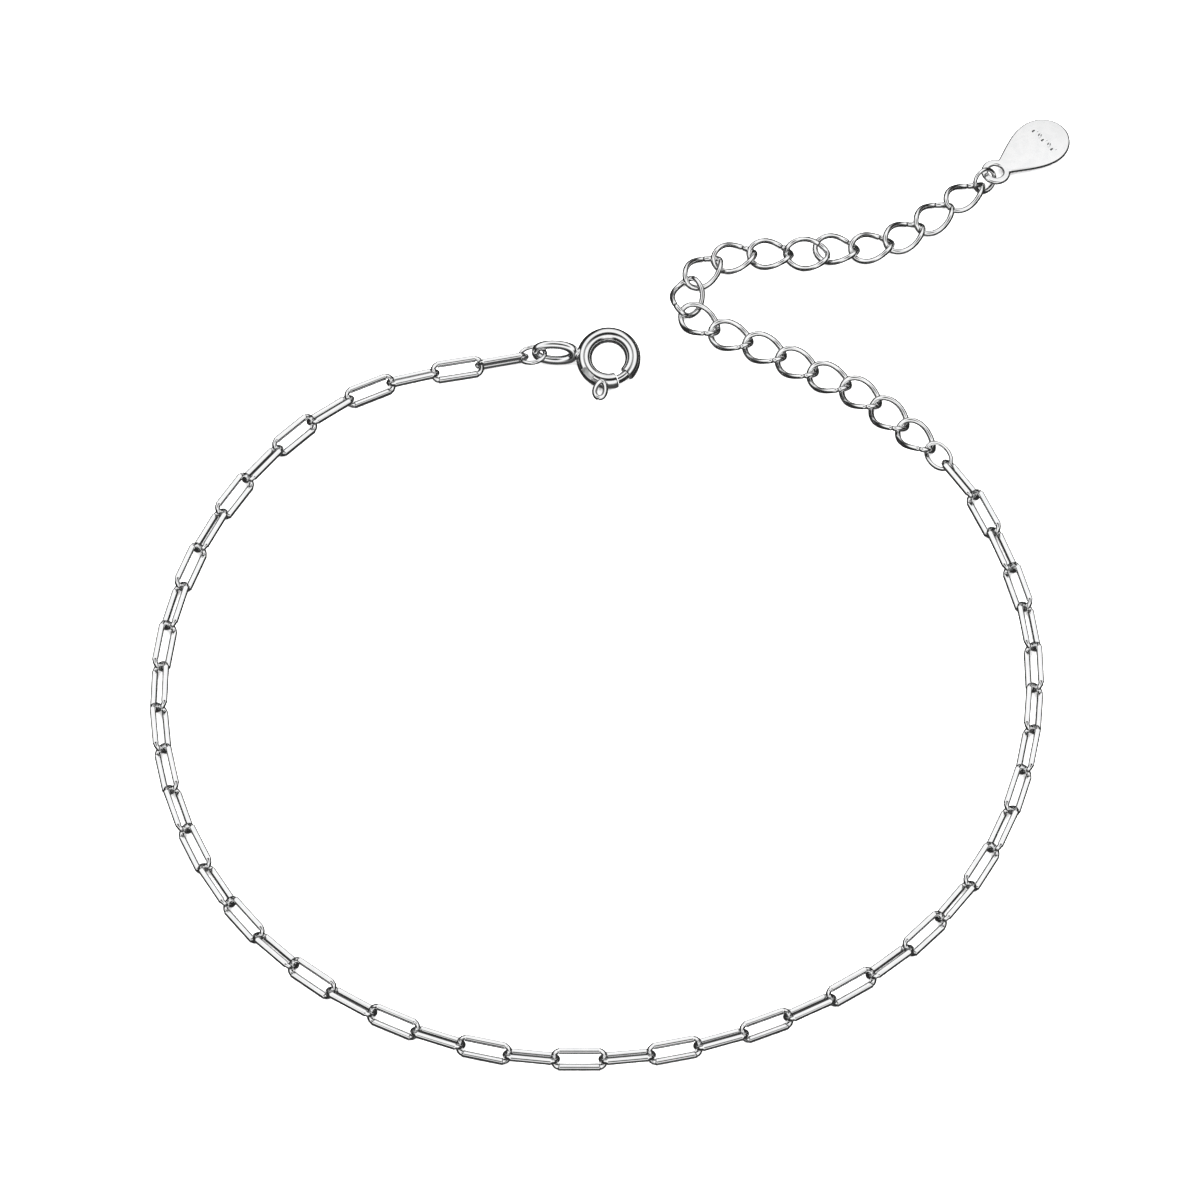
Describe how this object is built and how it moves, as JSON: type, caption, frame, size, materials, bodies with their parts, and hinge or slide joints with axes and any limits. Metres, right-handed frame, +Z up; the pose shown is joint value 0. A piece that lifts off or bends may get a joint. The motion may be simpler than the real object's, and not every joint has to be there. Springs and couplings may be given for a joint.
{
  "type": "bracelet",
  "caption": "Fine silver paperclip-chain bracelet, lying open, with a curb extender that ends in a teardrop tag, and a spring-ring clasp.",
  "frame": {"origin": "middle of the laid-out bracelet's footprint, on the surface that it lies on", "axes": "+Z up from the surface; +Y away from the viewer of the picture, along the longest extent; +X to the picture's right"},
  "size_m": [0.0712, 0.0823, 0.002],
  "materials": {
    "polished_silver": "polished sterling silver",
    "satin_silver": "softly polished flat silver"
  },
  "bodies": {
    "bracelet": {"paperclip_chain": "polished_silver", "clasp_jump_ring": "polished_silver", "spring_ring": "polished_silver", "extender_jump_ring": "polished_silver", "extender_chain": "polished_silver", "tag_jump_ring": "polished_silver", "tag": "satin_silver"},
    "gate": {"clasp_gate": "polished_silver"}
  },
  "joints": [
    {"name": "gate_slide", "type": "hinge", "parent": "bracelet", "child": "gate", "pos_m": [-0.00091, 0.01897, 0.00097], "axis": [0, 0.1908, -0.9816], "range_deg": [0, 40], "stiffness_Nm_per_rad": 0.002, "springref_deg": -20.05}
  ]
}
